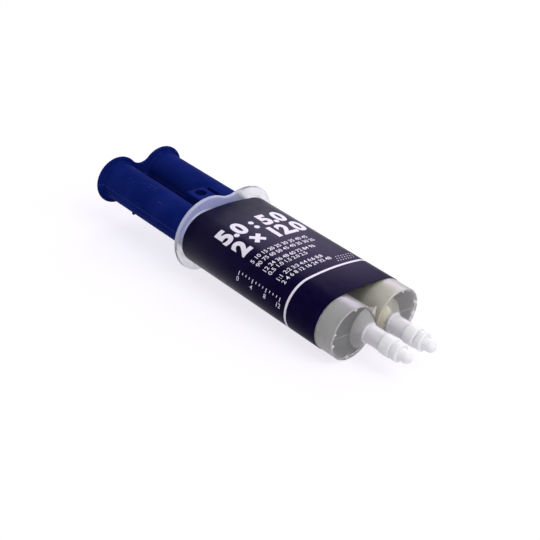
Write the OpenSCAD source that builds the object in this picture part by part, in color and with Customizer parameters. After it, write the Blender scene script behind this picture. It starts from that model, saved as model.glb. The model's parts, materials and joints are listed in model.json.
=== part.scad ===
// Twin-barrel epoxy syringe. Two barrels of adhesive are moulded side by side with a
// finger flange and two nozzles, and one twin plunger presses both pistons together.
// Millimetres. +X points to the nozzles, +Z is up, and the syringe lies on its flange.

/* [Barrels] */
// Distance between the axes of the two barrels
barrel_spacing = 21; // [20:0.1:23]
// Radius of each bore
bore_r = 8.9; // [8.4:0.05:9.1]
// Wall of each barrel
barrel_wall = 0.85; // [0.7:0.05:1.2]
// Length of the column of adhesive in each barrel
fill_len = 47.7; // [30:0.1:60]
// How far the plunger reaches into the barrel behind the piston
plunger_inset = 14.5; // [10:0.1:18]
// Front wall of each barrel
end_wall_t = 1.2; // [0.8:0.1:2]
// Depth of the recess inside the front rim
rim_depth = 0.8; // [0.6:0.1:3]
// Wall of the front rim
rim_wall = 0.65; // [0.5:0.05:0.8]
// Height of the web between the barrels
web_h = 6; // [3:0.5:9]
// How far the web stops short of the front rim
web_setback = 1.5; // [0:0.1:3]
// Height of the gusset on the front end of the web
gusset_h = 3.2; // [1:0.1:5]
// Length of the gusset
gusset_len = 4; // [2:0.1:8]
// Thickness of the gusset
gusset_t = 1.1; // [0.8:0.1:1.4]

/* [Finger flange] */
// Thickness of the flange
flange_t = 1.4; // [1:0.1:2.5]
// Radius of each end of the flange
flange_lobe_r = 14.4; // [13:0.1:17]
// Distance between the centres of the two rounded ends
flange_lobe_spacing = 16.4; // [14:0.1:20]
// Radius of the hollow between the rounded ends
flange_waist_r = 7.4; // [4:0.1:12]
// Cove between the flange and each barrel
flange_cove = 0.6; // [0.3:0.05:0.7]

/* [Nozzles] */
// Distance between the axes of the two nozzles
nozzle_spacing = 11.4; // [9:0.1:13]
// Radius of each nozzle tube
nozzle_r = 3.2; // [2.9:0.05:3.6]
// Radius of the outlet
outlet_r = 1.7; // [1.2:0.05:2]
// How far each nozzle tube stands out in front of the rim
nozzle_len = 9.2; // [6:0.1:14]
// Radius of the outer edge of the funnel's wide end
funnel_r = 8.2; // [7:0.1:8.6]
// Distance between the centres of the two outer edges
funnel_spacing = 7; // [5:0.1:9]
// How far the funnel's narrow end stands in front of the rim
funnel_out = 3; // [1:0.1:5]
// Radius of the spigot under the snap-off tip
spigot_r = 2.4; // [2.2:0.05:2.7]
// Length of the spigot
spigot_len = 6; // [4:0.1:7]

/* [Snap-off tips] */
// Radius of the tip's collar
tip_collar_r = 3.5; // [3.3:0.05:4]
// Length of the collar
tip_collar_len = 4.1; // [3:0.1:6]
// Radius of the groove in front of the collar
tip_groove_r = 2.95; // [2.85:0.05:3.2]
// Length of the groove
tip_groove_len = 0.6; // [0.4:0.1:1.5]
// Radius of the ring in front of the groove
tip_ring_r = 3.25; // [3.1:0.05:3.6]
// Length of the ring
tip_ring_len = 2.4; // [1.5:0.1:4]
// Radius of the domed end
tip_end_r = 2.1; // [1.5:0.05:2.6]
// Length of the domed end
tip_end_len = 4.3; // [3:0.1:6]

/* [Label] */
// Thickness of the label film
label_t = 0.2; // [0.1:0.05:0.3]
// Length of the label
label_len = 66.3; // [40:0.1:70]
// Bare band between the flange and the label
label_setback = 0.7; // [0.7:0.1:4]
// Height of the label's arch over the valley between the barrels
label_crown = 0.7; // [0.2:0.05:1.5]

/* [Plunger] */
// Radius of each plunger tube
tube_r = 7.25; // [6.5:0.05:7.8]
// Wall of each plunger tube
tube_wall = 1.3; // [1:0.05:2]
// Thickness of the thumb plate
thumb_t = 1.6; // [1.2:0.1:3]
// Radius of each end of the thumb plate
thumb_lobe_r = 9.3; // [8.5:0.1:11]
// Radius of the hollow between the ends of the thumb plate
thumb_waist_r = 5.2; // [4:0.1:8]
// Space left between the thumb plate and the flange at the end of the stroke
thumb_gap = 1; // [0.5:0.1:3]
// Cove between each tube and the thumb plate
tube_cove = 0.7; // [0.3:0.05:1]
// Radius of the small nub under each tube
nub_r = 0.65; // [0.4:0.05:0.8]

/* [Pistons] */
// Length of each piston
piston_len = 12; // [9:0.1:16]
// Length of each sealing lip
lip_len = 1.6; // [1:0.1:2.5]
// Depth of the grooves between the lips
lip_depth = 0.7; // [0.4:0.05:1.2]
// Length of the plug that holds the piston in its tube
plug_len = 5; // [3:0.1:7]
// Depth of the dish in the piston's front face
dish_depth = 0.8; // [0.3:0.1:1.5]

/* [Reseal stopper] */
// Width of the stopper
stopper_w = 8.4; // [7:0.1:9]
// Length of the stopper
stopper_len = 16.5; // [15.5:0.1:18]
// How far the stopper stands above the tubes
stopper_proud = 0.45; // [0.1:0.05:1.5]
// Height of the stopper
stopper_h = 6.4; // [5:0.1:7]
// Radius of the hole in its top
stopper_hole_r = 2.2; // [1.5:0.05:2.6]
// Depth of that hole
stopper_hole_depth = 3.6; // [2:0.1:4.2]
// Distance from the stopper's rear end to the hole's centre
stopper_hole_inset = 3.6; // [3:0.1:6]
// Length of the plugs that close the nozzles
stopper_plug_len = 4; // [2:0.1:5]
// Space between the stopper and the flange
stopper_gap = 0.6; // [0.4:0.1:2]
// Radius of the stopper's upright corners
stopper_corner_r = 0.6; // [0.3:0.1:1]
// Space on each side of the stopper in the well cut into the plunger tubes
well_gap = 3.1; // [1:0.1:3.3]
// Depth of the well below the top of the tubes
well_depth = 3.6; // [2:0.1:4.2]
// Wall round the well, inside the tubes
well_wall = 1; // [0.8:0.1:1.2]

/* [Hidden] */
$fn = 96;

// Clearances. A piston runs in its bore, and what is pressed or laid on takes a thin gap.
running_fit = 0.05;
press_gap = 0.03;
fill_gap = 0.03;
end_gap = 0.3;
seat_gap = 0.15;
well_end_gap = 0.4;
// Overrun of every cut past the face that it opens
overrun = 1;
// Smooth facets of the two funnels
funnel_fn = 48;
// Small sizes of the mouth of each bore and of the nibs inside each rim
mouth_chamfer = 0.4;
nib_r = 0.45;
nib_len = 0.9;
nib_angles = [14, -14, 86, -86];
// Thin disc that starts each end of a funnel
funnel_disc = 0.2;
// Round edges of the tip's collar and ring
tip_edge_r = 0.3;
// Height and width of the mould seams
seam_h = 0.12;
seam_w = 0.3;
// Chamfer round the stopper's top
stopper_chamfer = 0.35;
// Place of the nub along the free tube and round it, from straight down to the outer side
nub_share = 0.32;
nub_angle = 35;

// Sides of the part: resin on -Y, hardener on +Y
resin_side = -1;
hardener_side = 1;
sides = [resin_side, hardener_side];

// Lengths along X, from the rear face of the flange
barrel_r = bore_r + barrel_wall;
end_wall_x = plunger_inset + piston_len + fill_len;
recess_x = end_wall_x + end_wall_t;
rim_x = recess_x + rim_depth;
shoulder_x = rim_x + nozzle_len;
spigot_end_x = shoulder_x + spigot_len;
tip_len = tip_collar_len + tip_groove_len + tip_ring_len + tip_end_len;
nose_x = shoulder_x + tip_len;
stroke = fill_len - end_gap;
thumb_front_x = -stroke - thumb_gap;
thumb_rear_x = thumb_front_x - thumb_t;
piston_front_x = plunger_inset + piston_len;
// The origin is under the middle of the part, on the surface that the flange lies on
mid_x = (nose_x + thumb_rear_x) / 2;
axis_h = flange_lobe_r;

barrel_colour = [0.80, 0.79, 0.76, 0.6];
label_colour = [0.13, 0.10, 0.20];
plunger_colour = [0.08, 0.12, 0.43];
piston_colour = [0.88, 0.88, 0.86];
resin_colour = [0.72, 0.72, 0.70, 0.8];
hardener_colour = [0.86, 0.80, 0.56, 0.8];
tip_colour = [0.93, 0.93, 0.95];

// Moves the part from its axes to its resting frame
module place() {
    translate([-mid_x, 0, axis_h]) children();
}

// Turns what stands on +Z to lie along +X, from x
module along_x(x, y = 0) {
    translate([x, y, 0]) rotate([0, 90, 0]) children();
}

// Plain round bar along X
module bar(x0, x1, r, y = 0) {
    along_x(x0, y) cylinder(h = x1 - x0, r = r);
}

// Distance of a barrel's or a nozzle's axis from the middle
function barrel_y(side) = side * barrel_spacing / 2;
function nozzle_y(side) = side * nozzle_spacing / 2;

// Bar along X with round edges at both ends
module soft_bar(x0, x1, r, edge_r, y = 0) {
    bar_len = x1 - x0;
    along_x(x0, y) rotate_extrude() {
        square([r - edge_r, bar_len]);
        translate([0, edge_r]) square([r, bar_len - 2 * edge_r]);
        for (z = [edge_r, bar_len - edge_r]) translate([r - edge_r, z]) circle(r = edge_r);
    }
}

// Right half of a circle
module half_circle(r) {
    intersection() {
        circle(r = r);
        translate([0, -r]) square([r, 2 * r]);
    }
}

// Section of a plate's round end, with a fully rounded edge
module lobe_2d(r, t) {
    edge_r = t / 2;
    square([r - edge_r, t]);
    translate([r - edge_r, edge_r]) half_circle(edge_r);
}

// Section of the cut that leaves a fully rounded edge along a hollow
module hollow_2d(r, t) {
    edge_r = t / 2;
    difference() {
        translate([0, -overrun]) square([r + edge_r, t + 2 * overrun]);
        translate([r + edge_r, edge_r]) circle(r = edge_r);
    }
}

// Plate across the axis with two round ends and a waist, rounded along its whole edge.
// The ends meet the waist on the lines from their centres to the centres of the hollows.
module waisted_plate(x, t, lobe_r, spacing, waist_r) {
    hollow_x = sqrt(pow(lobe_r + waist_r, 2) - pow(spacing / 2, 2));
    along_x(x) difference() {
        union() {
            for (side = sides) translate([0, side * spacing / 2]) rotate_extrude() lobe_2d(lobe_r, t);
            linear_extrude(height = t)
                polygon([[0, -spacing / 2], [hollow_x, 0], [0, spacing / 2], [-hollow_x, 0]]);
        }
        for (end = [-1, 1]) translate([end * hollow_x, 0]) rotate_extrude() hollow_2d(waist_r, t);
    }
}

// Outline round both barrels, with a shallow arch over each valley that meets them smoothly
module sleeve_2d(r) {
    lean = 2 * atan(2 * label_crown / barrel_spacing);
    arch_drop = barrel_spacing / 2 / tan(lean);
    arch_r = r + barrel_spacing / 2 / sin(lean);
    arch_w = barrel_spacing + 2 * r * sin(lean);
    for (side = sides) translate([0, barrel_y(side)]) circle(r = r);
    for (up = [-1, 1]) intersection() {
        translate([-up * arch_drop, 0]) circle(r = arch_r);
        translate([up * arch_r / 2, 0]) square([arch_r, arch_w], center = true);
    }
}

// Web between the barrels, with an upright gusset on its front end
module barrel_web() {
    web_front = rim_x - web_setback;
    translate([0, -barrel_spacing / 2 + bore_r, -web_h / 2])
        cube([web_front, barrel_spacing - 2 * bore_r, web_h]);
    for (up = [0, 1]) mirror([0, 0, up])
        translate([web_front, gusset_t / 2, web_h / 2]) rotate([90, 0, 0])
            linear_extrude(height = gusset_t)
                polygon([[0, 0], [0, gusset_h], [-gusset_len, 0]]);
}

// One barrel: a tube with its flange cove and the recess inside its round-edged front rim
module barrel_tube(side) {
    y = barrel_y(side);
    rim_edge_r = rim_wall / 2;
    difference() {
        union() {
            bar(0, rim_x - rim_edge_r, barrel_r, y);
            along_x(flange_t, y) cylinder(h = flange_cove, r1 = barrel_r + flange_cove, r2 = barrel_r);
        }
        bar(recess_x, rim_x, barrel_r - rim_wall, y);
    }
    along_x(rim_x - rim_edge_r, y) rotate_extrude()
        translate([barrel_r - rim_edge_r, 0]) rotate(90) half_circle(rim_edge_r);
}

// Mould seam across the outer half of the front wall and up the inside of the rim
module front_seam(side) {
    inner_r = barrel_r - rim_wall;
    rim_seam_len = rim_depth - rim_wall / 2;
    translate([recess_x, barrel_y(side), -seam_w / 2]) mirror([0, side < 0 ? 1 : 0, 0]) {
        translate([-seam_h, 0, 0]) cube([2 * seam_h, inner_r + rim_wall / 2, seam_w]);
        translate([0, inner_r - seam_h, 0]) cube([rim_seam_len, seam_h + rim_wall / 2, seam_w]);
    }
}

// Nibs on the inside of the front rim
module rim_nibs(side) {
    for (angle = nib_angles)
        translate([rim_x - nib_r, barrel_y(side), 0]) rotate([side * angle, 0, 0])
            translate([0, side * (barrel_r - rim_wall / 2), 0]) rotate([side * 90, 0, 0])
                cylinder(h = nib_len, r = nib_r);
}

// Wide end of a funnel: what its outer edge and the inside of the rim have in common
module funnel_2d(side) {
    intersection() {
        translate([0, side * funnel_spacing / 2]) circle(r = funnel_r, $fn = funnel_fn);
        translate([0, barrel_y(side)]) circle(r = barrel_r - rim_wall, $fn = funnel_fn);
    }
}

// Funnel that leads from the front wall to the off-centre nozzle
module funnel(side) {
    funnel_tip_x = rim_x + funnel_out;
    hull() {
        along_x(recess_x - funnel_disc) linear_extrude(height = funnel_disc) funnel_2d(side);
        along_x(funnel_tip_x - funnel_disc, nozzle_y(side))
            cylinder(h = funnel_disc, r = nozzle_r, $fn = funnel_fn);
    }
}

// Nozzle tube with the spigot that carries the snap-off tip
module nozzle(side) {
    bar(recess_x, shoulder_x, nozzle_r, nozzle_y(side));
    bar(shoulder_x - overrun, spigot_end_x, spigot_r, nozzle_y(side));
}

// Bore, its mouth and its outlet
module barrel_hollows(side) {
    bar(-overrun, end_wall_x, bore_r, barrel_y(side));
    along_x(0, barrel_y(side))
        cylinder(h = mouth_chamfer, r1 = bore_r + mouth_chamfer, r2 = bore_r);
    bar(end_wall_x - overrun, spigot_end_x + overrun, outlet_r, nozzle_y(side));
}

module barrel_body() {
    color(barrel_colour) place() {
        difference() {
            union() {
                waisted_plate(0, flange_t, flange_lobe_r, flange_lobe_spacing, flange_waist_r);
                for (side = sides) barrel_tube(side);
                barrel_web();
                for (side = sides) funnel(side);
                for (side = sides) nozzle(side);
            }
            for (side = sides) barrel_hollows(side);
        }
        for (side = sides) rim_nibs(side);
        for (side = sides) front_seam(side);
    }
}

module label_sleeve() {
    label_x = flange_t + label_setback;
    inner_r = barrel_r + press_gap;
    color(label_colour) place() along_x(label_x) linear_extrude(height = label_len)
        difference() {
            sleeve_2d(inner_r + label_t);
            sleeve_2d(inner_r);
        }
}

// Box of the well that the stopper stands in, or of the well with its walls
module stopper_well(wall) {
    well_len = stopper_len + 2 * (well_end_gap + wall);
    well_w = stopper_w + 2 * (well_gap + wall);
    floor_z = tube_r - well_depth - wall;
    translate([-stopper_gap - stopper_len / 2 - well_len / 2, -well_w / 2, floor_z])
        cube([well_len, well_w, well_depth + wall + overrun]);
}

// Tube of the plunger with its mould seam and its half of the well, open at the front for
// the piston's plug
module plunger_tube(side) {
    y = barrel_y(side);
    nub_x = thumb_front_x * (1 - nub_share);
    difference() {
        union() {
            bar(thumb_front_x - thumb_t / 2, plunger_inset, tube_r, y);
            along_x(thumb_front_x, y) cylinder(h = tube_cove, r1 = tube_r + tube_cove, r2 = tube_r);
            translate([nub_x, y, 0]) rotate([side * nub_angle, 0, 0]) translate([0, 0, -tube_r])
                sphere(r = nub_r);
            translate([thumb_front_x, y, -seam_w / 2]) mirror([0, side < 0 ? 1 : 0, 0])
                cube([plunger_inset - thumb_front_x, tube_r + seam_h, seam_w]);
        }
        difference() {
            bar(thumb_front_x, plunger_inset + overrun, tube_r - tube_wall, y);
            stopper_well(well_wall);
        }
        stopper_well(0);
    }
}

module twin_plunger() {
    color(plunger_colour) place() {
        waisted_plate(thumb_rear_x, thumb_t, thumb_lobe_r, barrel_spacing, thumb_waist_r);
        for (side = sides) plunger_tube(side);
    }
}

// Piston with three sealing lips, a dished front and a plug pressed into its tube
module piston(side) {
    y = barrel_y(side);
    piston_r = bore_r - running_fit;
    lip_step = (piston_len - lip_len) / 2;
    color(piston_colour) place() difference() {
        union() {
            bar(plunger_inset, piston_front_x, piston_r - lip_depth, y);
            for (lip = [0:2])
                bar(plunger_inset + lip * lip_step, plunger_inset + lip * lip_step + lip_len, piston_r, y);
            bar(plunger_inset - plug_len, plunger_inset, tube_r - tube_wall - press_gap, y);
        }
        along_x(piston_front_x - dish_depth, y)
            cylinder(h = dish_depth + press_gap, r1 = outlet_r, r2 = piston_r - lip_len);
    }
}

module resin_piston() {
    piston(resin_side);
}

module hardener_piston() {
    piston(hardener_side);
}

// Column of adhesive from the piston to the outlet
module adhesive(side) {
    place() {
        bar(piston_front_x + fill_gap, end_wall_x - fill_gap, bore_r - fill_gap, barrel_y(side));
        bar(end_wall_x - overrun, spigot_end_x, outlet_r - fill_gap, nozzle_y(side));
    }
}

module resin_fill() {
    color(resin_colour) adhesive(resin_side);
}

module hardener_fill() {
    color(hardener_colour) adhesive(hardener_side);
}

// Closed tip that fits over the spigot
module snap_tip(side) {
    y = nozzle_y(side);
    groove_x = shoulder_x + tip_collar_len;
    ring_x = groove_x + tip_groove_len;
    end_x = ring_x + tip_ring_len;
    color(tip_colour) place() difference() {
        union() {
            soft_bar(shoulder_x, groove_x, tip_collar_r, tip_edge_r, y);
            bar(groove_x - tip_edge_r, ring_x + tip_edge_r, tip_groove_r, y);
            soft_bar(ring_x, end_x, tip_ring_r, tip_edge_r, y);
            bar(end_x, nose_x - tip_end_r, tip_end_r, y);
            translate([nose_x - tip_end_r, y, 0]) sphere(r = tip_end_r);
        }
        bar(shoulder_x - overrun, spigot_end_x + end_gap, spigot_r + running_fit, y);
    }
}

module resin_tip() {
    snap_tip(resin_side);
}

module hardener_tip() {
    snap_tip(hardener_side);
}

// Block outline with round upright corners
module stopper_2d() {
    straight_len = stopper_len - 2 * stopper_corner_r;
    straight_w = stopper_w - 2 * stopper_corner_r;
    square([straight_len, stopper_w], center = true);
    square([stopper_len, straight_w], center = true);
    for (end = [-1, 1]) for (side = sides)
        translate([end * straight_len / 2, side * straight_w / 2]) circle(r = stopper_corner_r);
}

// Square bars on edge that chamfer the stopper's top
module stopper_chamfers() {
    bar_w = stopper_chamfer * sqrt(2);
    for (end = [-1, 1]) {
        translate([end * stopper_len / 2, 0, 0]) rotate([0, 45, 0])
            cube([bar_w, stopper_w + 2 * overrun, bar_w], center = true);
        translate([0, end * stopper_w / 2, 0]) rotate([45, 0, 0])
            cube([stopper_len + 2 * overrun, bar_w, bar_w], center = true);
    }
}

// Stopper that sits in the valley of the plunger tubes, with two plugs below it
module reseal_stopper() {
    top_z = tube_r + stopper_proud;
    base_z = top_z - stopper_h;
    mid_stopper_x = -stopper_gap - stopper_len / 2;
    hole_x = mid_stopper_x - stopper_len / 2 + stopper_hole_inset;
    color(plunger_colour) place() {
        difference() {
            translate([mid_stopper_x, 0, base_z]) linear_extrude(height = stopper_h) stopper_2d();
            for (side = sides)
                bar(mid_stopper_x - stopper_len, mid_stopper_x + stopper_len, tube_r + seat_gap,
                    barrel_y(side));
            translate([hole_x, 0, top_z - stopper_hole_depth])
                cylinder(h = stopper_hole_depth + overrun, r = stopper_hole_r);
            translate([mid_stopper_x, 0, top_z]) stopper_chamfers();
        }
        for (end = [-1, 1])
            translate([mid_stopper_x + end * nozzle_spacing / 2, 0, base_z - stopper_plug_len])
                cylinder(h = stopper_plug_len + stopper_corner_r, r = outlet_r - running_fit);
    }
}

barrel_body();
label_sleeve();
twin_plunger();
resin_piston();
hardener_piston();
resin_fill();
hardener_fill();
resin_tip();
hardener_tip();
reseal_stopper();
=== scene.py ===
"""Looks of a twin-barrel epoxy syringe: finishes, label film, print, liquids and a plain studio.

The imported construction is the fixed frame. Every piece is in metres, in that frame: +X points to
the nozzles, +Y runs from the resin barrel to the hardener barrel, and +Z is up.
"""

import json
import logging
import math
from dataclasses import dataclass, field
from enum import Enum
from typing import Any, Callable, Optional, Sequence, Union

import bmesh
import bpy
from mathutils import Matrix, Vector


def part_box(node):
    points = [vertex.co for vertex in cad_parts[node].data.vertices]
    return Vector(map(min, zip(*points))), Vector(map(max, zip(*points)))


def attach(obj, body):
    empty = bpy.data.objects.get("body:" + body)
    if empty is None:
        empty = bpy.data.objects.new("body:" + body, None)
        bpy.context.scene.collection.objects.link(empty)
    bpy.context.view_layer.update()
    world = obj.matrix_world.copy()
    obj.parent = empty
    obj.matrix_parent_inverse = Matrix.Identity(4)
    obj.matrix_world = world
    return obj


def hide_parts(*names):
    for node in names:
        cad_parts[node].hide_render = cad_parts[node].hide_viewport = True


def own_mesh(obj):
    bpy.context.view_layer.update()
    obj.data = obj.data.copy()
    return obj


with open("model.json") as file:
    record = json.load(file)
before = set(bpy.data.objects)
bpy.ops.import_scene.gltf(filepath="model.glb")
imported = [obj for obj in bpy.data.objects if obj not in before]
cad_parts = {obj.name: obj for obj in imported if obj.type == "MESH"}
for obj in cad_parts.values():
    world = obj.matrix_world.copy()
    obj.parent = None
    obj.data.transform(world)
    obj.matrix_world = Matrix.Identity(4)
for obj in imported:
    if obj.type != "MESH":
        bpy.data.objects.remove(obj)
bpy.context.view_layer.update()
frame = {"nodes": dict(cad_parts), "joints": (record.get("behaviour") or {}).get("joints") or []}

MM = 0.001
BACKDROP_RAYS = ("Camera", "Glossy", "Transmission")
SOFT_BAND = (0.3, 0.7)
ON_AXIS_R = 1e-7
Colour = tuple[float, float, float]
Triple = tuple[float, float, float]
Flat = tuple[float, float]
Lines = tuple[tuple[str, float], ...]
Operand = Union["Value", float]
Socket = bpy.types.NodeSocket
Material = bpy.types.Material
Piece = bpy.types.Object
Build = bmesh.types.BMesh
log = logging.getLogger("syringe")


class Side(Enum):
    """The two halves of the syringe, as the sign of their place on Y."""

    RESIN = -1
    HARDENER = 1

    @property
    def word(self) -> str:
        """The half's name as the nodes spell it."""
        return self.name.lower()


@dataclass(frozen=True)
class Layout:
    """Places in the frame that more than one piece is built to."""

    flange_x: float
    label_start_x: float
    label_end_x: float
    label_low_z: float
    end_wall_x: float
    recess_x: float
    rim_x: float
    funnel_x: float
    axis_z: float
    barrel_y: float
    nozzle_y: float
    bore_r: float

    @classmethod
    def from_frame(cls) -> "Layout":
        """Reads the places off the CAD nodes and the record."""
        wall_t, rim_depth, funnel_out = 1.2 * MM, 0.8 * MM, 3.0 * MM
        body_low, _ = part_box("barrel_body")
        label_low, label_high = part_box("label_sleeve")
        fill_low, fill_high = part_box("hardener_fill")
        tip_low, tip_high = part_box("hardener_tip")
        press = next(j for j in frame["joints"] if j["name"] == "plunger_press")
        end_wall_x = press["deforming_nodes"][0]["fixed_end_x_m"]
        bore_r = (fill_high.z - fill_low.z) / 2
        return cls(
            flange_x=body_low.x,
            label_start_x=label_low.x,
            label_end_x=label_high.x,
            label_low_z=label_low.z,
            end_wall_x=end_wall_x,
            recess_x=end_wall_x + wall_t,
            rim_x=end_wall_x + wall_t + rim_depth,
            funnel_x=end_wall_x + wall_t + rim_depth + funnel_out,
            axis_z=(tip_high.z + tip_low.z) / 2,
            barrel_y=fill_high.y - bore_r,
            nozzle_y=(tip_high.y + tip_low.y) / 2,
            bore_r=bore_r,
        )


class Value:
    """A number socket that Python operators join through Math nodes."""

    def __init__(self, tree: "NodeTree", socket: Socket) -> None:
        """Keeps the tree that the socket belongs to."""
        self.tree = tree
        self.socket = socket

    def _join(self, operation: str, first: Operand, second: Operand) -> "Value":
        """One Math node on two operands."""
        node = self.tree.node("ShaderNodeMath", {"operation": operation}, {0: first, 1: second})
        return Value(self.tree, node.outputs[0])

    def __add__(self, other: Operand) -> "Value":
        """Sum."""
        return self._join("ADD", self, other)

    def __radd__(self, other: Operand) -> "Value":
        """Sum with a number on the left."""
        return self._join("ADD", other, self)

    def __sub__(self, other: Operand) -> "Value":
        """Difference."""
        return self._join("SUBTRACT", self, other)

    def __rsub__(self, other: Operand) -> "Value":
        """Difference from a number on the left."""
        return self._join("SUBTRACT", other, self)

    def __mul__(self, other: Operand) -> "Value":
        """Product."""
        return self._join("MULTIPLY", self, other)

    def band(self, low: float, high: float) -> "Value":
        """Smooth step from 0 at low to 1 at high, which may be the smaller of the two."""
        node = self.tree.node(
            "ShaderNodeMapRange",
            {"interpolation_type": "SMOOTHSTEP"},
            {"Value": self, "From Min": low, "From Max": high},
        )
        return Value(self.tree, node.outputs["Result"])

    def clamp(self) -> "Value":
        """Held between 0 and 1."""
        node = self.tree.node("ShaderNodeClamp", {}, {"Value": self})
        return Value(self.tree, node.outputs[0])


class NodeTree:
    """The nodes of a material or of the world."""

    def __init__(self, holder: Union[Material, bpy.types.World]) -> None:
        """Empties a material or world that gets new nodes."""
        holder.use_nodes = True
        self.nodes = holder.node_tree.nodes
        self.links = holder.node_tree.links
        self.nodes.clear()

    def node(
        self,
        kind: str,
        settings: Optional[dict[str, Any]] = None,
        sockets: Optional[dict[Union[str, int], Any]] = None,
    ) -> bpy.types.Node:
        """Adds any node.

        Args:
            kind: The node's type.
            settings: What is set on the node first.
            sockets: Values or links for its inputs, by name or number.

        Returns:
            The new node.
        """
        made = self.nodes.new(kind)
        for key, value in (settings or {}).items():
            setattr(made, key, value)
        for key, value in (sockets or {}).items():
            self.feed(made.inputs[key], value)
        return made

    def feed(self, socket: Socket, value: Any) -> None:
        """Links a socket to a Value or another socket, or sets its number, colour or vector."""
        if isinstance(value, Value):
            self.links.new(value.socket, socket)
        elif isinstance(value, Socket):
            self.links.new(value, socket)
        elif socket.type == "RGBA" and len(value) == 3:
            socket.default_value = (*value, 1.0)
        else:
            socket.default_value = value

    def backdrop(self) -> Value:
        """1 for rays that show the background: straight, in gloss, or through clear plastic."""
        path = self.node("ShaderNodeLightPath")
        rays = [Value(self, path.outputs[f"Is {kind} Ray"]) for kind in BACKDROP_RAYS]
        return sum(rays[1:], rays[0]).clamp()


class FinishTree(NodeTree):
    """One material's nodes: a Principled surface and the patterns that feed it."""

    def __init__(self, name: str) -> None:
        """Makes a material of this name, and its surface."""
        self.material = bpy.data.materials.new(name)
        super().__init__(self.material)
        self.surface = self.node("ShaderNodeBsdfPrincipled")
        self.output = self.node("ShaderNodeOutputMaterial", {}, {"Surface": self.surface.outputs[0]})
        self.place = self.node("ShaderNodeTexCoord").outputs["Object"]

    def set(self, **sockets: Any) -> None:
        """Feeds the surface's sockets, named with _ for each space."""
        for key, value in sockets.items():
            self.feed(self.surface.inputs[key.replace("_", " ")], value)

    def cover(self, share: Value, top: bpy.types.Node) -> None:
        """Lays another shader over the surface.

        Args:
            share: How much of it shows, from 0 to 1.
            top: The other shader's node.
        """
        shaders = {0: share, 1: self.surface.outputs[0], 2: top.outputs[0]}
        mix = self.node("ShaderNodeMixShader", {}, shaders)
        self.feed(self.output.inputs["Surface"], mix.outputs[0])

    def stretched(self, x: float, y: float, z: float) -> Socket:
        """The object's coordinates, scaled along each axis."""
        node = self.node("ShaderNodeMapping", {}, {"Vector": self.place, "Scale": (x, y, z)})
        return node.outputs["Vector"]

    def noise(self, grain: float, detail: float = 3.0, place: Optional[Socket] = None) -> Value:
        """Soft noise from 0 to 1.

        Args:
            grain: Size of its blotches in metres.
            detail: How many finer layers it has.
            place: Coordinates, or the object's own.

        Returns:
            The noise.
        """
        sockets = {"Vector": place or self.place, "Scale": 1.0 / grain, "Detail": detail}
        node = self.node("ShaderNodeTexNoise", {"normalize": True}, sockets)
        return Value(self, node.outputs["Fac"])

    def specks(self, spacing: float, radius_share: float) -> Value:
        """Small round specks, 1 at their middle.

        Args:
            spacing: Distance between specks in metres.
            radius_share: Radius as a share of the spacing.

        Returns:
            The mask.
        """
        node = self.node("ShaderNodeTexVoronoi", {}, {"Vector": self.place, "Scale": 1.0 / spacing})
        return Value(self, node.outputs["Distance"]).band(radius_share, 0.0)

    def axes(self, place: Socket) -> list[Value]:
        """The three numbers of a place, in metres."""
        node = self.node("ShaderNodeSeparateXYZ", {}, {"Vector": place})
        return [Value(self, output) for output in node.outputs]

    def vector(self, operation: str, first: Socket, second: Triple) -> bpy.types.Node:
        """One Vector Math node on a place and a fixed vector."""
        return self.node("ShaderNodeVectorMath", {"operation": operation}, {0: first, 1: second})

    def folded(self, axis_z: float) -> Socket:
        """Coordinates from the syringe's axis, with all four quarters laid on one."""
        lowered = self.vector("SUBTRACT", self.place, (0.0, 0.0, axis_z))
        node = self.node("ShaderNodeVectorMath", {"operation": "ABSOLUTE"}, {0: lowered.outputs[0]})
        return node.outputs[0]

    def near(self, place: Socket, point: Triple, radius: float, fade: float) -> Value:
        """1 within a radius of a point, fading out over a short way inside it."""
        node = self.vector("DISTANCE", place, point)
        return Value(self, node.outputs["Value"]).band(radius, radius - fade)

    def blend(self, share: Operand, first: Any, second: Any) -> Socket:
        """A colour between two, at a share from 0 to 1."""
        node = self.node("ShaderNodeMix", {"data_type": "RGBA"}, {0: share, 6: first, 7: second})
        return node.outputs[2]


@dataclass(frozen=True)
class Spread:
    """A number that a pattern raises from its least value."""

    least: float
    added: float

    def at(self, pattern: Value) -> Value:
        """The number where the pattern has a value from 0 to 1."""
        return self.least + pattern * self.added


@dataclass(frozen=True)
class Relief:
    """A fine relief: the size of its grain, its depth, and how much of it shows."""

    grain: float
    depth: float
    strength: float

    def press(self, tree: FinishTree, height: Value) -> None:
        """Feeds a surface's normal from a height from 0 to 1."""
        sockets = {"Strength": self.strength, "Distance": self.depth, "Height": height}
        tree.set(Normal=tree.node("ShaderNodeBump", {}, sockets).outputs["Normal"])


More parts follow.
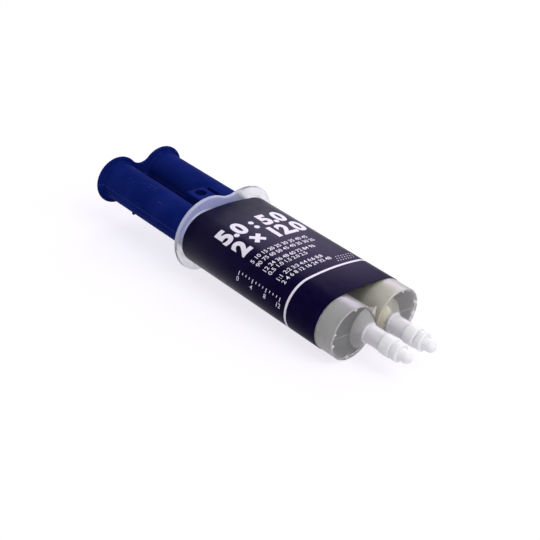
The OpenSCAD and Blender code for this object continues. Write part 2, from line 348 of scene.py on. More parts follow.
@dataclass(frozen=True)
class SatinBlue:
    """Moulded deep blue plastic with fine grain, faint scratches and paler rubbed patches."""

    deep: Colour = (0.0034, 0.0115, 0.120)
    rubbed: Colour = (0.0075, 0.0175, 0.155)
    scratched: Colour = (0.055, 0.070, 0.300)
    patch: float = 9 * MM
    patch_band: Flat = (0.35, 0.75)
    scratch: float = 0.5 * MM
    scratch_stretch: Triple = (0.06, 0.8, 1.0)
    scratch_band: Flat = (0.66, 0.74)
    scratch_field: float = 4 * MM
    scratch_field_band: Flat = (0.52, 0.64)
    scratch_weight: float = 0.6
    scratch_polish: float = 0.1
    scratch_height: float = 0.8
    seam_w: float = 0.3 * MM
    seam_weight: float = 0.3
    roughness: Spread = Spread(0.48, 0.12)
    gloss: float = 0.005
    gloss_tint: Colour = (0.35, 0.40, 1.0)
    relief: Relief = Relief(0.35 * MM, 0.02 * MM, 0.5)

    def make(self, layout: Layout) -> Material:
        """Builds the material."""
        tree = FinishTree("satin_blue")
        patches = tree.noise(self.patch, 4.0).band(*self.patch_band)
        lines = tree.noise(self.scratch, 2.0, tree.stretched(*self.scratch_stretch))
        fields = tree.noise(self.scratch_field, 2.0).band(*self.scratch_field_band)
        scratches = lines.band(*self.scratch_band) * fields
        height = tree.axes(tree.folded(layout.axis_z))[2]
        seam = height.band(self.seam_w, self.seam_w / 2)
        worn = (scratches * self.scratch_weight + seam * self.seam_weight).clamp()
        body = tree.blend(patches, self.deep, self.rubbed)
        tree.set(
            Base_Color=tree.blend(worn, body, self.scratched),
            Roughness=self.roughness.at(patches) - scratches * self.scratch_polish,
            Specular_IOR_Level=self.gloss,
            Specular_Tint=self.gloss_tint,
        )
        grain = tree.noise(self.relief.grain, 2.0) + scratches * self.scratch_height
        self.relief.press(tree, grain)
        return tree.material


@dataclass
class BarrelPlaces:
    """Where a point of the barrels' moulding lies, as masks from 0 to 1."""

    tree: FinishTree
    layout: Layout
    label_fade: float = 0.4 * MM
    side_fade: float = 0.5 * MM
    band_fade: float = 1.0 * MM
    recess_fade: Flat = (0.3 * MM, 0.1 * MM)
    nozzle_fade: float = 0.9 * MM
    wall_fade: float = 0.3 * MM
    warm_fade: float = 6.0 * MM
    painted_blue_y: Flat = (9.0 * MM, 1.0 * MM)
    painted_blue_z: Flat = (-4.5 * MM, 4.0 * MM)
    funnel_r: float = 8.2 * MM
    funnel_y: float = 3.5 * MM
    seam_w: float = 0.26 * MM
    nib_reach: float = 9.0 * MM
    nib_setback: float = 0.45 * MM
    nib_angles: tuple[float, ...] = (14.0, 86.0)
    nib_spot: Flat = (0.9 * MM, 0.4 * MM)
    gusset_at: Flat = (2.4 * MM, 4.2 * MM)
    gusset_spot: Flat = (1.7 * MM, 0.7 * MM)
    glow_y: float = 5.5 * MM
    glow_lean: float = 0.21
    glow_edge: float = 0.15 * MM
    glow_x: Flat = (2.2 * MM, 1.2 * MM)
    glow_z: Flat = (-3.0 * MM, -1.0 * MM)

    def __post_init__(self) -> None:
        """Takes the coordinates apart."""
        self.x, self.y, z = self.tree.axes(self.tree.place)
        self.height = z - self.layout.axis_z
        self.folded = self.tree.folded(self.layout.axis_z)
        self.across = self.tree.vector("MULTIPLY", self.folded, (0, 1, 1)).outputs[0]

    def along_label(self) -> Value:
        """From 0 at the label's rear end to 1 at its front end."""
        return self.x.band(self.layout.label_start_x, self.layout.label_end_x)

    def flange(self) -> Value:
        """1 behind the label."""
        start = self.layout.label_start_x
        return self.x.band(start + self.label_fade, start)

    def through(self) -> Value:
        """The flange's upper part, where the blue of the plunger seen through it is painted on."""
        return self.flange() * self.y.band(*self.painted_blue_y) * self.height.band(*self.painted_blue_z)

    def bare_front(self) -> Value:
        """1 in front of the label."""
        return self.x.band(self.layout.label_end_x - self.band_fade, self.layout.label_end_x)

    def hardener_side(self) -> Value:
        """1 on the hardener's half."""
        return self.y.band(-self.side_fade, self.side_fade)

    def warm_flank(self) -> Value:
        """1 on the hardener barrel's inner flank, where its liquid tints the wall."""
        barrel_y = self.layout.barrel_y
        return self.hardener_side() * self.y.band(barrel_y + self.warm_fade, barrel_y)

    def within(self, radius: float) -> Value:
        """1 within a radius of either barrel's axis."""
        return self.tree.near(self.across, (0, self.layout.barrel_y, 0), radius, self.wall_fade)

    def recess(self) -> Value:
        """1 from the front walls on."""
        begin, full = self.recess_fade
        return self.x.band(self.layout.recess_x - begin, self.layout.recess_x - full)

    def funnel(self) -> Value:
        """1 on the funnels between the front walls and the nozzles."""
        middle = (0, self.funnel_y, 0)
        cone = self.tree.near(self.across, middle, self.funnel_r, self.wall_fade)
        return cone * self.within(self.layout.bore_r) * self.recess()

    def root(self) -> Value:
        """From 0 at the rims to 1 at the nozzles' root."""
        return self.x.band(self.layout.rim_x, self.layout.funnel_x)

    def nozzle(self) -> Value:
        """1 on the nozzles."""
        return self.x.band(self.layout.funnel_x - self.nozzle_fade, self.layout.funnel_x)

    def glow(self) -> Value:
        """Painted light: the inner side of the hardener's front, painted pale and warm as if lit
        through the liquid.
        """
        sloped = self.y + self.height * self.glow_lean
        inner = sloped.band(self.glow_y + self.glow_edge, self.glow_y - self.glow_edge)
        end, full = self.glow_x
        along = self.recess() * self.x.band(self.layout.rim_x + end, self.layout.rim_x + full)
        inside = self.within(self.layout.bore_r + self.wall_fade)
        return inner * along * inside * self.height.band(*self.glow_z) * self.hardener_side()

    def solid_spots_and_glints(self) -> Value:
        """The rims' nibs and the gussets' corners, which are solid; their extra whiteness is partly a
        painted glint.
        """
        setback, height = self.gusset_at
        gusset = (self.layout.rim_x - setback, 0, height)
        spots = self.tree.near(self.folded, gusset, *self.gusset_spot)
        for angle in self.nib_angles:
            turn = math.radians(angle)
            nib_y = self.layout.barrel_y + self.nib_reach * math.cos(turn)
            nib = (self.layout.rim_x - self.nib_setback, nib_y, self.nib_reach * math.sin(turn))
            spots = spots + self.tree.near(self.folded, nib, *self.nib_spot)
        return spots

    def seam(self) -> Value:
        """The mould's seam across the front walls."""
        level = self.tree.axes(self.folded)[2]
        return level.band(self.seam_w, self.seam_w / 2) * self.recess()


@dataclass(frozen=True)
class NaturalPlastic:
    """Cloudy natural plastic: clear enough to show the liquid, milky where it is thick, with painted
    light: a blue cast from the plunger on the flange, a lit patch inside the hardener's front, and
    partly painted glints on the nibs and gussets.
    """

    clear: Colour = (0.97, 0.97, 0.98)
    clear_front: Colour = (0.74, 0.73, 0.71)
    milk: Colour = (0.95, 0.95, 0.96)
    milk_front: Colour = (0.80, 0.785, 0.77)
    milk_hardener: Colour = (0.80, 0.76, 0.63)
    milk_nozzle: Colour = (0.77, 0.76, 0.78)
    painted_plunger_blue: Colour = (0.50, 0.54, 0.98)
    painted_blue_weight: float = 0.85
    # painted light: the colour of the patch lit through the hardener
    painted_glow_cream: Colour = (0.78, 0.745, 0.60)
    cloud: float = 6 * MM
    cloud_weight: float = 0.25
    flow: Relief = Relief(2.5 * MM, 0.03 * MM, 0.3)
    flow_stretch: Triple = (0.25, 1.0, 1.0)
    flow_roughness: float = 0.08
    roughness: Spread = Spread(0.14, 0.20)
    ior: float = 1.49
    passing: float = 0.95
    coat: float = 0.15
    coat_roughness: float = 0.06
    milk_roughness: float = 0.35
    milk_glow: float = 1.0
    milk_radius: Colour = (1.0, 0.98, 0.95)
    milk_depth: float = 2.5 * MM
    milk_coat: float = 0.1
    milk_coat_roughness: float = 0.08
    wall_share: float = 0.32
    flange_share: float = 0.13
    painted_blue_share: float = 0.5
    hardener_share: float = 0.28
    front_share: float = 0.16
    funnel_share: float = 0.22
    nozzle_share: float = 0.85
    glow_share: float = 0.5
    seam_share: float = 0.22
    solid_and_glint_share: float = 0.8

    def make(self, layout: Layout) -> Material:
        """Builds the material as a clear surface and a milky one, mixed by place."""
        tree = FinishTree("natural_plastic")
        places = BarrelPlaces(tree, layout)
        clouds = tree.noise(self.cloud, 4.0).band(*SOFT_BAND)
        streaks = tree.noise(self.flow.grain, 3.0, tree.stretched(*self.flow_stretch))
        front = places.along_label()
        deep_front = front - clouds * front * self.cloud_weight
        tree.set(
            Base_Color=tree.blend(deep_front, self.clear, self.clear_front),
            Roughness=self.roughness.at(front) + streaks * self.flow_roughness,
            IOR=self.ior,
            Transmission_Weight=self.passing,
            Coat_Weight=self.coat,
            Coat_Roughness=self.coat_roughness,
        )
        self.flow.press(tree, streaks)
        sockets = {
            "Base Color": self.milk_colour(places, deep_front),
            "Roughness": self.milk_roughness,
            "Subsurface Weight": self.milk_glow,
            "Subsurface Radius": self.milk_radius,
            "Subsurface Scale": self.milk_depth,
            "Coat Weight": self.milk_coat,
            "Coat Roughness": self.milk_coat_roughness,
        }
        tree.cover(self.share(places), tree.node("ShaderNodeBsdfPrincipled", {}, sockets))
        return tree.material

    def milk_colour(self, places: BarrelPlaces, front: Value) -> Socket:
        """White, with a painted blue cast where the plunger shows through, yellowish where the
        hardener tints the wall, and a painted lit patch where light comes through the hardener.
        """
        blend = places.tree.blend
        plain = blend(front, self.milk, self.milk_front)
        sided = blend(front * places.warm_flank(), plain, self.milk_hardener)
        white = blend(places.root(), sided, self.milk_nozzle)
        # painted light: the plunger's blue, seen through the flange, laid on as colour
        painted_bluish = blend(places.through() * self.painted_blue_weight, white, self.painted_plunger_blue)
        # painted light: a pale warm patch lit through the hardener
        return blend(places.glow(), painted_bluish, self.painted_glow_cream)

    def share(self, places: BarrelPlaces) -> Value:
        """How milky the plastic is, by place."""
        inside = places.within(places.layout.bore_r)
        funnel = places.funnel()
        wall = self.wall_share - inside * (self.wall_share - self.front_share)
        outer = places.bare_front() * places.warm_flank() * (1 - inside)
        seam = places.seam() * inside * (1 - funnel)
        total = wall + funnel * self.funnel_share + places.nozzle() * self.nozzle_share
        # painted light: the flange turns milkier where the plunger's blue is painted on
        total = total + outer * self.hardener_share + places.through() * self.painted_blue_share
        total = total - places.flange() * (self.wall_share - self.flange_share)
        # painted light: more milk where the hardener's front is painted as lit through
        total = total + places.glow() * self.glow_share + seam * self.seam_share
        # solid spots made milky white, partly as a painted glint
        return (total + places.solid_spots_and_glints() * self.solid_and_glint_share).clamp()


@dataclass(frozen=True)
class MilkyPlastic:
    """Milky white plastic of the snap-off tips, lit through."""

    body: Colour = (0.985, 0.975, 0.995)
    faint: Colour = (0.96, 0.95, 0.98)
    cloud: float = 2.5 * MM
    roughness: Spread = Spread(0.38, 0.1)
    glow_weight: float = 0.9
    glow_radius: Colour = (1.0, 0.98, 1.0)
    glow_depth: float = 1.2 * MM
    ior: float = 1.5
    relief: Relief = Relief(0.3 * MM, 0.01 * MM, 0.4)

    def make(self) -> Material:
        """Builds the material."""
        tree = FinishTree("milky_plastic")
        clouds = tree.noise(self.cloud, 3.0).band(*SOFT_BAND)
        tree.set(
            Base_Color=tree.blend(clouds, self.faint, self.body),
            Roughness=self.roughness.at(clouds),
            Subsurface_Weight=self.glow_weight,
            Subsurface_Radius=self.glow_radius,
            Subsurface_Scale=self.glow_depth,
            IOR=self.ior,
        )
        self.relief.press(tree, tree.noise(self.relief.grain, 2.0))
        return tree.material


@dataclass(frozen=True)
class LabelFilm:
    """Dark violet printed film, soft gloss, with faint waves and rubbed flecks."""

    ink: Colour = (0.0014, 0.0011, 0.0150)
    pale_ink: Colour = (0.0034, 0.0023, 0.0240)
    rubbed_ink: Colour = (0.10, 0.09, 0.16)
    blotch: float = 3 * MM
    fleck_spacing: float = 2.4 * MM
    fleck_r: float = 0.03
    fleck_field: float = 6 * MM
    fleck_field_band: Flat = (0.5, 0.62)
    fleck_weight: float = 0.25
    roughness: Spread = Spread(0.32, 0.06)
    gloss: float = 0.06
    gloss_tint: Colour = (0.55, 0.22, 1.0)
    wave: Relief = Relief(14 * MM, 0.35 * MM, 0.3)

    def make(self) -> Material:
        """Builds the material."""
        tree = FinishTree("label_film")
        ink = tree.noise(self.blotch, 4.0).band(*SOFT_BAND)
        fields = tree.noise(self.fleck_field).band(*self.fleck_field_band)
        flecks = tree.specks(self.fleck_spacing, self.fleck_r) * fields
        colour = tree.blend(ink, self.ink, self.pale_ink)
        tree.set(
            Base_Color=tree.blend(flecks * self.fleck_weight, colour, self.rubbed_ink),
            Roughness=self.roughness.at(ink),
            Specular_IOR_Level=self.gloss,
            Specular_Tint=self.gloss_tint,
        )
        self.wave.press(tree, tree.noise(self.wave.grain, 1.0))
        return tree.material


@dataclass(frozen=True)
class PrintInk:
    """White print with a faint lilac cast and small thin spots."""

    white: Colour = (0.84, 0.80, 0.90)
    thin: Colour = (0.70, 0.66, 0.78)
    spot: Relief = Relief(0.6 * MM, 0.01 * MM, 0.3)
    spot_band: Flat = (0.45, 0.75)
    spot_weight: float = 0.5
    roughness: Spread = Spread(0.42, 0.1)
    gloss: float = 0.34

    def make(self) -> Material:
        """Builds the material."""
        tree = FinishTree("print_ink")
        spots = tree.noise(self.spot.grain, 3.0).band(*self.spot_band)
        tree.set(
            Base_Color=tree.blend(spots * self.spot_weight, self.white, self.thin),
            Roughness=self.roughness.at(spots),
            Specular_IOR_Level=self.gloss,
        )
        self.spot.press(tree, spots)
        return tree.material


@dataclass(frozen=True)
class ThickLiquid:
    """A thick, nearly clear adhesive with slow streaks."""

    name: str
    tint: Colour
    streaked: Colour
    streak: float = 3 * MM
    streak_stretch: Triple = (0.3, 1.0, 1.0)
    roughness: Spread = Spread(0.18, 0.1)
    ior: float = 1.5
    passing: float = 0.75

    def make(self) -> Material:
        """Builds the material."""
        tree = FinishTree(self.name)
        streaks = tree.noise(self.streak, 3.0, tree.stretched(*self.streak_stretch)).band(*SOFT_BAND)
        tree.set(
            Base_Color=tree.blend(streaks, self.tint, self.streaked),
            Roughness=self.roughness.at(streaks),
            IOR=self.ior,
            Transmission_Weight=self.passing,
        )
        return tree.material


@dataclass(frozen=True)
class PistonPlastic:
    """Soft natural plastic of the pistons."""

    body: Colour = (0.76, 0.76, 0.73)
    stained: Colour = (0.66, 0.64, 0.56)
    stain: float = 2 * MM
    stain_band: Flat = (0.4, 0.8)
    roughness: Spread = Spread(0.45, 0.15)
    glow_weight: float = 0.3
    glow_depth: float = 1.0 * MM
    relief: Relief = Relief(0.4 * MM, 0.01 * MM, 0.4)

    def make(self) -> Material:
        """Builds the material."""
        tree = FinishTree("piston_plastic")
        stain = tree.noise(self.stain, 3.0).band(*self.stain_band)
        tree.set(
            Base_Color=tree.blend(stain, self.body, self.stained),
            Roughness=self.roughness.at(stain),
            Subsurface_Weight=self.glow_weight,
            Subsurface_Scale=self.glow_depth,
        )
        self.relief.press(tree, tree.noise(self.relief.grain, 2.0))
        return tree.material


def dress(piece: Piece, material: Material) -> None:
    """Gives a piece one material.

    Args:
        piece: A CAD node's object or a new piece.
        material: Its finish.
    """
    piece.data.materials.clear()
    piece.data.materials.append(material)
    log.info("%s wears %s", piece.name, material.name)


def link_mesh(name: str, build: Build) -> Piece:
    """Puts a built mesh into the scene as an object, and frees it."""
    mesh = bpy.data.meshes.new(name)
    build.to_mesh(mesh)
    build.free()
    piece = bpy.data.objects.new(name, mesh)
    bpy.context.scene.collection.objects.link(piece)
    return piece


def new_piece(name: str, build: Build, body: str, slot: str) -> Piece:
    """Turns a built mesh into a piece that rides on a body.

    Args:
        name: The piece's name.
        build: Its mesh, in the frame, which is freed.
        body: The CAD body that carries it.
        slot: The record's material slot; not used.

    Returns:
        The piece.
    """
    bmesh.ops.recalc_face_normals(build, faces=build.faces)
    piece = link_mesh(name, build)
    for face in piece.data.polygons:
        face.use_smooth = True
    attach(piece, body)
    log.info("piece %s: %d faces on %s", name, len(piece.data.polygons), body)
    return piece


@dataclass
class Barrel:
    """The twin barrel with its flange and nozzles, which keeps its CAD mesh."""

    layout: Layout
    finish: NaturalPlastic = NaturalPlastic()

    def dress(self) -> None:
        """Gives it its finish."""
        dress(frame["nodes"]["barrel_body"], self.finish.make(self.layout))


@dataclass
class Plunger:
    """The twin plunger and its two pistons, which keep their CAD meshes."""

    blue: Material
    piston_finish: PistonPlastic = PistonPlastic()

    def dress(self) -> None:
        """Gives each piece its finish."""
        dress(frame["nodes"]["twin_plunger"], self.blue)
        piston = self.piston_finish.make()
        for side in Side:
            dress(frame["nodes"][f"{side.word}_piston"], piston)


@dataclass
class Stopper:
    """The reseal stopper, of the plunger's plastic, which keeps its CAD mesh."""

    blue: Material

    def dress(self) -> None:
        """Gives it its finish."""
        dress(frame["nodes"]["reseal_stopper"], self.blue)


@dataclass
class Tips:
    """The snap-off tips on the nozzles, which keep their CAD meshes."""

    finish: MilkyPlastic = MilkyPlastic()

    def dress(self) -> None:
        """Gives both their finish."""
        milky = self.finish.make()
        for side in Side:
            dress(frame["nodes"][f"{side.word}_tip"], milky)


@dataclass
class Wrap:
    """The label's surface: round both barrels, and in a shallow arch over the valley.

    A place on it is x along the syringe and s round it, from the middle of the top towards +Y.
    """

    radius: float
    spacing: float
    axis_z: float
    crown: float

    def __post_init__(self) -> None:
        """Works out where the arch leaves the barrels."""
        self.lean = 2 * math.atan(2 * self.crown / self.spacing)
        self.drop = self.spacing / 2 / math.tan(self.lean)
        self.arch_r = self.radius + self.spacing / 2 / math.sin(self.lean)
        self.arch_len = self.arch_r * self.lean
        self.round_len = self.radius * (math.pi - 2 * self.lean)

    @property
    def girth(self) -> float:
        """Length once round."""
        return 2 * (2 * self.arch_len + self.round_len)

    def point(self, x: float, s: float, lift: float = 0.0) -> Vector:
        """A point on the surface, or lifted off it.

        Args:
            x: Place along the syringe.
            s: Place round it, positive towards +Y.
            lift: Height above the surface.

        Returns:
            The point in the frame.
        """
        sign = -1.0 if s < 0 else 1.0
        along = abs(s)
        if along <= self.arch_len:
            turn = along / self.arch_r
            reach, centre_y, centre_z = self.arch_r + lift, 0.0, -self.drop
        elif along <= self.arch_len + self.round_len:
            turn = self.lean + (along - self.arch_len) / self.radius
            reach, centre_y, centre_z = self.radius + lift, self.spacing / 2, 0.0
        else:
            turn = math.pi - (self.girth / 2 - along) / self.arch_r
            reach, centre_y, centre_z = self.arch_r + lift, 0.0, self.drop
        y = centre_y + reach * math.sin(turn)
        z = centre_z + reach * math.cos(turn)
        return Vector((x, sign * y, self.axis_z + z))


@dataclass
class Label:
    """The wrapped film and its generic print."""

    layout: Layout
    film: LabelFilm = LabelFilm()
    ink: PrintInk = PrintInk()
    film_t: float = 0.12 * MM
    overlap: float = 7 * MM
    overlap_lift: float = 0.05 * MM
    arc_step: float = 0.35 * MM
    ink_lift: float = 0.012 * MM
    print_start: float = -18.4 * MM
    weld: float = 0.005 * MM
    most_splits: int = 6
    title_cap: float = 7.4 * MM
    title_weight: float = 0.05
    title_lines: Lines = (("5.0 : 5.0", -1.7 * MM), ("2 × 12.0", 6.8 * MM))
    table_cap: float = 1.75 * MM
    table_weight: float = 0.012
    table_rows: Lines = (
        ("5 10 15 20 25 30 35 40 45", 11.6 * MM),
        ("90 75 60 50 45 40 35 30 25", 14.3 * MM),
        ("12 24 36 48 60 72 84 96", 17.9 * MM),
        ("0.5 1.0 1.5 2.0 2.5", 20.3 * MM),
        ("1:1 2:2 3:3 4:4 6:6 8:8", 24.4 * MM),
        ("2 4 6 8 12 16 24 32 48", 26.9 * MM),
    )
    ring_x: float = 31.4 * MM
    ring_w: float = 0.95 * MM
    scale_s: float = -22.8 * MM
    scale_span: Flat = (8.0 * MM, 28.0 * MM)
    scale_steps: int = 12
    scale_cap: float = 1.7 * MM
    scale_weight: float = 0.01
    scale_gap: float = 2 * MM
    tick_half_w: float = 0.16 * MM
    tick_len: float = 0.8 * MM
    major_len: float = 1.5 * MM
    major_every: int = 4
    dot_r: float = 0.22 * MM
    dot_sides: int = 12
    dot_rows: int = 3
    dots_in_row: int = 7
    dot_pitch: float = 1.25 * MM
    dot_start: Flat = (28.9 * MM, 4.6 * MM)
    box: tuple[Vector, Vector] = field(default_factory=lambda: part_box("label_sleeve"))

    def __post_init__(self) -> None:
        """Works out the surface from the CAD sleeve."""
        low, high = self.box
        spacing = 2 * self.layout.barrel_y
        outer = (high.y - low.y - spacing) / 2
        crown = (high.z - low.z) / 2 - outer
        self.wrap = Wrap(outer - self.overlap_lift, spacing, self.layout.axis_z, crown)

    def build(self) -> None:
        """Makes the film and each group of print, and dresses them."""
        sleeve = self.film_mesh()
        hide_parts("label_sleeve")
        dress(sleeve, self.film.make())
        ink = self.ink.make()
        for name, drawn in (
            ("label_title", self.lines(self.title_lines, self.title_cap, self.title_weight)),
            ("label_table", self.lines(self.table_rows, self.table_cap, self.table_weight)),
            ("label_ring", self.ring()),
            ("label_scale", self.scale()),
            ("label_dots", self.dots()),
        ):
            dress(new_piece(name, drawn, "barrel", "label_film"), ink)

    def film_mesh(self) -> Piece:
        """The film as a closed sleeve whose ends overlap along the underside."""
        low, high = self.box
        girth, half_lap = self.wrap.girth, self.overlap / 2
        count = int(girth / self.arc_step)
        ease = self.film_t / 2
        section = (
            (low.x, -self.film_t),
            (low.x, -ease / 2),
            (low.x + ease, 0.0),
            (high.x - ease, 0.0),
            (high.x, -ease / 2),
            (high.x, -self.film_t),
        )
        build = bmesh.new()
        rows = []
        for i in range(count):
            s = (i / count - 0.5) * girth
            edge = girth / 2 - abs(s)
            over = self.overlap_lift if s > 0 and edge < half_lap else 0.0
            if s < 0 and edge < half_lap:
                over = self.overlap_lift * min(1.0, 2 - 2 * edge / half_lap)
            rows.append([build.verts.new(self.wrap.point(x, s, lift + over)) for x, lift in section])
        for row, following in zip(rows, rows[1:] + rows[:1]):
            for a in range(len(section)):
                b = (a + 1) % len(section)
                build.faces.new((row[a], row[b], following[b], following[a]))
        return new_piece("label_film", build, "barrel", "label_film")

    def lay(self, build: Build, place: Callable[[Flat], Flat]) -> None:
        """Wraps flat print onto the film.

        Args:
            build: Print drawn flat, as u along its line and v up.
            place: Turns u and v into x along the syringe and s round it.
        """
        for vert in build.verts:
            x, s = place((vert.co.x, vert.co.y))
            vert.co = self.wrap.point(x, s, self.ink_lift)

    def glyphs(self, text: str, cap: float, weight: float) -> Build:
        """Draws plain numerals flat, from u = 0, standing on v = 0.

        Args:
            text: Numerals and signs only.
            cap: Height of a numeral in metres.
            weight: How much the strokes are fattened, as a share of the size.

        Returns:
            The flat mesh, with no edge too long to wrap.
        """
        drawing = bpy.data.curves.new("numerals", "FONT")
        drawing.body = text
        drawing.offset = weight
        holder = bpy.data.objects.new("numerals", drawing)
        bpy.context.scene.collection.objects.link(holder)
        graph = bpy.context.evaluated_depsgraph_get()
        mesh = bpy.data.meshes.new_from_object(holder.evaluated_get(graph))
        bpy.data.objects.remove(holder)
        build = bmesh.new()
        build.from_mesh(mesh)
        bpy.data.meshes.remove(mesh)
        left = min(v.co.x for v in build.verts)
        foot = min(v.co.y for v in build.verts)
        tall = max(v.co.y for v in build.verts) - foot
        for vert in build.verts:
            vert.co = Vector(((vert.co.x - left) * cap / tall, (vert.co.y - foot) * cap / tall, 0.0))
        bmesh.ops.remove_doubles(build, verts=build.verts, dist=self.weld)
        self.refine(build)
        return build

    def refine(self, build: Build) -> None:
        """Splits long edges of flat print until it can follow the film's curve."""
        bmesh.ops.triangulate(build, faces=build.faces)
        for _ in range(self.most_splits):
            long_edges = [e for e in build.edges if e.calc_length() > 2 * self.arc_step]
            if not long_edges:
                break
            bmesh.ops.subdivide_edges(build, edges=long_edges, cuts=1)
            bmesh.ops.triangulate(build, faces=build.faces)

    def patch(self, build: Build, x0: float, x1: float, s0: float, s1: float) -> None:
        """Adds a rectangle of print straight on the film."""
        across = max(1, math.ceil((s1 - s0) / self.arc_step))
        rows = []
        for i in range(across + 1):
            s = s0 + (s1 - s0) * i / across
            rows.append([build.verts.new(self.wrap.point(x, s, self.ink_lift)) for x in (x0, x1)])
        for low, high in zip(rows, rows[1:]):
            build.faces.new((low[0], low[1], high[1], high[0]))

    @staticmethod
    def join(whole: Build, part: Build) -> None:
        """Adds one mesh to another and frees it."""
        spare = bpy.data.meshes.new("spare")
        part.to_mesh(spare)
        part.free()
        whole.from_mesh(spare)
        bpy.data.meshes.remove(spare)

    def lines(self, rows: Lines, cap: float, weight: float) -> Build:
        """Lines of plain numerals that read across the syringe.

        Args:
            rows: Each line's numerals and the place along the syringe that it stands on.
            cap: Height of a numeral in metres.
            weight: How much the strokes are fattened, as a share of the size.

        Returns:
            The print, on the film.
        """
        whole = bmesh.new()
        for text, base_x in rows:
            line = self.glyphs(text, cap, weight)
            self.lay(line, lambda flat: (base_x - flat[1], self.print_start + flat[0]))
            self.join(whole, line)
        return whole

    def ring(self) -> Build:
        """A plain stripe once round the label."""
        build = bmesh.new()
        half = self.wrap.girth / 2
        self.patch(build, self.ring_x - self.ring_w / 2, self.ring_x + self.ring_w / 2, -half, half)
        return build

    def scale(self) -> Build:
        """A row of ticks with plain numbers along the near side."""
        build = bmesh.new()
        first, last = self.scale_span
        pitch = (last - first) / self.scale_steps
        half_w = self.tick_half_w
        foot = self.scale_s - self.scale_gap - self.scale_cap
        for step in range(self.scale_steps + 1):
            x = first + step * pitch
            major = step % self.major_every == 0
            tall = self.major_len if major else self.tick_len
            self.patch(build, x - half_w, x + half_w, self.scale_s - tall, self.scale_s)
            if major:
                mark = self.glyphs(str(step), self.scale_cap, self.scale_weight)
                half = max(v.co.x for v in mark.verts) / 2
                self.lay(mark, lambda flat: (x - half + flat[0], foot + flat[1]))
                self.join(build, mark)
        return build

    def dots(self) -> Build:
        """A small grid of plain dots behind the ring on the far side."""
        build = bmesh.new()
        x0, s0 = self.dot_start
        for row in range(self.dot_rows):
            for i in range(self.dots_in_row):
                x = x0 - row * self.dot_pitch
                s = s0 + (i + row / 2) * self.dot_pitch
                edge = []
                for k in range(self.dot_sides):
                    turn = 2 * math.pi * k / self.dot_sides
                    spot = (x + self.dot_r * math.cos(turn), s + self.dot_r * math.sin(turn))
                    edge.append(build.verts.new(self.wrap.point(*spot, self.ink_lift)))
                build.faces.new(edge)
        return build


@dataclass
class AdhesiveColumns:
    """The liquid in each barrel, and in each nozzle."""

    layout: Layout
    resin: ThickLiquid = ThickLiquid("resin", (0.80, 0.80, 0.78), (0.72, 0.72, 0.69))
    hardener: ThickLiquid = ThickLiquid("hardener", (0.86, 0.80, 0.52), (0.80, 0.72, 0.42))
    wet_lift: float = 0.05 * MM
    left_over: float = 0.2 * MM
    edge_r: float = 0.5 * MM
    dome: float = 0.8 * MM
    overlap: float = 0.1 * MM
    arc_steps: int = 6
    spokes: int = 96
    neck_spokes: int = 32
    outlet_r: float = 1.7 * MM

    def build(self) -> None:
        """Makes a column in each barrel and a neck in each outlet."""
        end_x = self.layout.end_wall_x
        for side, finish in ((Side.RESIN, self.resin), (Side.HARDENER, self.hardener)):
            liquid = finish.make()
            node = f"{side.word}_fill"
            low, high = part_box(node)
            column = self.column(low.x, side)
            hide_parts(node)
            keep = self.left_over / (end_x - low.x)
            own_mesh(column)
            dress(column, liquid)
            dress(self.neck(high.x, side), liquid)

    def quarter(self) -> list[Flat]:
        """Sine and cosine at each step of a quarter turn."""
        turns = [math.pi / 2 * i / self.arc_steps for i in range(self.arc_steps + 1)]
        return [(math.sin(turn), math.cos(turn)) for turn in turns]

    def column(self, start_x: float, side: Side) -> Piece:
        """A column with round edges, a little wider than the bore so that it wets the wall."""
        radius = self.layout.bore_r + self.wet_lift
        end_x = self.layout.end_wall_x
        edge = []
        for sine, cosine in self.quarter():
            edge.append((self.edge_r * (1 - sine), radius - self.edge_r * (1 - cosine)))
        profile = [(start_x, 0.0)]
        profile += [(start_x + inset, r) for inset, r in reversed(edge)]
        profile += [(end_x - inset, r) for inset, r in edge]
        profile.append((end_x, 0.0))
        centre = Vector((0.0, side.value * self.layout.barrel_y, self.layout.axis_z))
        return revolve(f"{side.word}_column", profile, centre, self.spokes, side.word)

    def neck(self, end_x: float, side: Side) -> Piece:
        """The liquid that stands in the outlet, with a domed end."""
        start_x = self.layout.end_wall_x - self.overlap
        profile = [(start_x, 0.0), (start_x, self.outlet_r)]
        for sine, cosine in self.quarter():
            profile.append((end_x - self.dome * (1 - sine), self.outlet_r * cosine))
        centre = Vector((0.0, side.value * self.layout.nozzle_y, self.layout.axis_z))
        return revolve(f"{side.word}_neck", profile, centre, self.neck_spokes, side.word)


def revolve(name: str, profile: Sequence[Flat], centre: Vector, spokes: int, slot: str) -> Piece:
    """Turns a profile round an axis along X into a piece that rides on the barrel.

    Args:
        name: The piece's name.
        profile: Places along X and radii, from one end on the axis to the other.
        centre: A point of the axis.
        spokes: Steps round it.
        slot: The record's material slot, passed on to new_piece; not used.

    Returns:
        The piece.
    """
    build = bmesh.new()
    rows = []
    for x, r in profile:
        if r < ON_AXIS_R:
            rows.append([build.verts.new((x, centre.y, centre.z))])
            continue
        row = []
        for i in range(spokes):
            turn = 2 * math.pi * i / spokes
            y, z = centre.y + r * math.cos(turn), centre.z + r * math.sin(turn)
            row.append(build.verts.new((x, y, z)))
        rows.append(row)
    for low, high in zip(rows, rows[1:]):
        for i in range(spokes):
            j = (i + 1) % spokes
            corners = [low[i % len(low)], low[j % len(low)], high[j % len(high)], high[i % len(high)]]
            build.faces.new(list(dict.fromkeys(corners)))
    return new_piece(name, build, "barrel", slot)


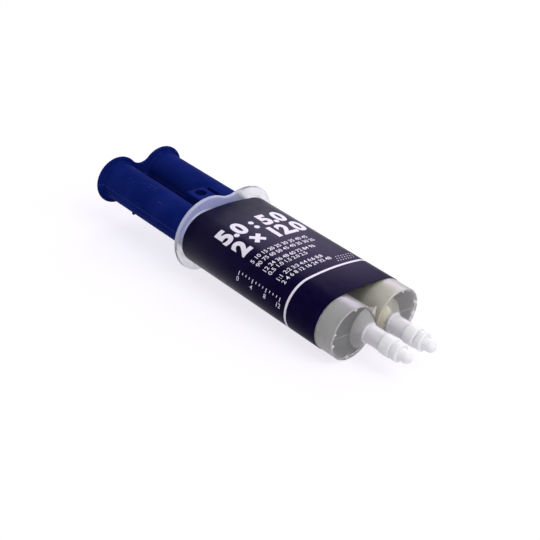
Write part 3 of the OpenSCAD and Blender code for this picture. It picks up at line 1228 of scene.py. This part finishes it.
@dataclass(frozen=True)
class Lamp:
    """A square soft lamp; a radiance of 1 makes its face white."""

    name: str
    place: Triple
    size: float
    radiance: float
    tint: Colour

    def hang(self, aim: Vector) -> None:
        """Hangs the lamp, turned to a point."""
        data = bpy.data.lights.new(self.name, "AREA")
        data.color = self.tint
        data.size = self.size
        data.energy = math.pi * self.radiance * self.size * self.size
        lamp = bpy.data.objects.new(self.name, data)
        lamp.location = self.place
        lamp.rotation_mode = "QUATERNION"
        lamp.rotation_quaternion = (aim - Vector(self.place)).to_track_quat("-Z", "Y")
        bpy.context.scene.collection.objects.link(lamp)


@dataclass
class Studio:
    """White floor, a soft lamp behind and one in front, even fill, and the camera."""

    layout: Layout
    azimuth: float = 43.38
    elevation: float = 29.23
    roll: float = 8.17
    distance: float = 416.95 * MM
    aim: Triple = (5.1 * MM, -2.34 * MM, 11.34 * MM)
    focal_px: float = 1204.3
    image_px: float = 540.0
    sensor: float = 36.0
    floor_size: float = 6.0
    floor_white: Colour = (0.88, 0.87, 0.91)
    floor_roughness: float = 0.9
    floor_gloss: float = 0.1
    floor_tint: Colour = (1.0, 0.975, 1.04)
    floor_glow: float = 1.14
    shadow_share: float = 0.32
    sky: Colour = (0.98, 0.98, 1.0)
    sky_strength: float = 0.48
    lamps: tuple[Lamp, ...] = (
        Lamp("back_lamp", (-0.50, 0.67, 0.55), 0.5, 3.7, (0.82, 0.69, 1.0)),
        Lamp("front_lamp", (0.55, 0.05, 0.90), 0.8, 2.7, (1.0, 1.0, 1.0)),
    )

    def build(self) -> None:
        """Sets the stage."""
        self.floor()
        self.world()
        for lamp in self.lamps:
            lamp.hang(Vector(self.aim))
        self.camera()
        bpy.context.scene.view_settings.view_transform = "Standard"

    def floor(self) -> None:
        """A plane that touches the flange and the label's front edge, which the syringe lies on."""
        rise = self.layout.label_low_z / (self.layout.label_end_x - self.layout.flange_x)
        build = bmesh.new()
        half = self.floor_size / 2
        corners = []
        for x, y in ((-half, -half), (half, -half), (half, half), (-half, half)):
            corners.append(build.verts.new((x, y, (x - self.layout.flange_x) * rise)))
        build.faces.new(corners)
        floor = link_mesh("floor", build)
        tree = FinishTree("floor_white")
        tree.set(
            Base_Color=self.floor_white,
            Roughness=self.floor_roughness,
            Specular_IOR_Level=self.floor_gloss,
        )
        light = {"Color": self.floor_tint, "Strength": self.floor_glow}
        white = tree.node("ShaderNodeEmission", {}, light)
        tree.cover(tree.backdrop() * (1 - self.shadow_share), white)
        dress(floor, tree.material)

    def world(self) -> None:
        """Even soft light, white where the background shows."""
        world = bpy.data.worlds.new("studio")
        bpy.context.scene.world = world
        tree = NodeTree(world)
        strength = self.sky_strength + tree.backdrop() * (1 - self.sky_strength)
        sky = tree.node("ShaderNodeBackground", {}, {"Color": self.sky, "Strength": strength})
        tree.node("ShaderNodeOutputWorld", {}, {"Surface": sky.outputs[0]})

    def camera(self) -> None:
        """The photograph's viewing angle."""
        turn, lift, roll = (math.radians(v) for v in (self.azimuth, self.elevation, self.roll))
        back = Vector(
            (math.sin(turn) * math.cos(lift), -math.cos(turn) * math.cos(lift), math.sin(lift))
        )
        right = Vector((0, 0, 1)).cross(back).normalized()
        up = back.cross(right)
        rolled_right = math.cos(roll) * right + math.sin(roll) * up
        rolled_up = math.cos(roll) * up - math.sin(roll) * right
        data = bpy.data.cameras.new("camera")
        data.sensor_width = self.sensor
        data.lens = self.focal_px * self.sensor / self.image_px
        camera = bpy.data.objects.new("camera", data)
        axes = Matrix((rolled_right, rolled_up, back)).transposed().to_4x4()
        axes.translation = Vector(self.aim) + back * self.distance
        camera.matrix_world = axes
        bpy.context.scene.collection.objects.link(camera)
        bpy.context.scene.camera = camera


def main() -> None:
    """Builds the syringe's looks and the studio."""
    logging.basicConfig(level=logging.INFO, format="%(name)s: %(message)s")
    layout = Layout.from_frame()
    blue = SatinBlue().make(layout)
    Barrel(layout).dress()
    Plunger(blue).dress()
    Stopper(blue).dress()
    Tips().dress()
    Label(layout).build()
    AdhesiveColumns(layout).build()
    Studio(layout).build()


if __name__ == "__main__":
    main()
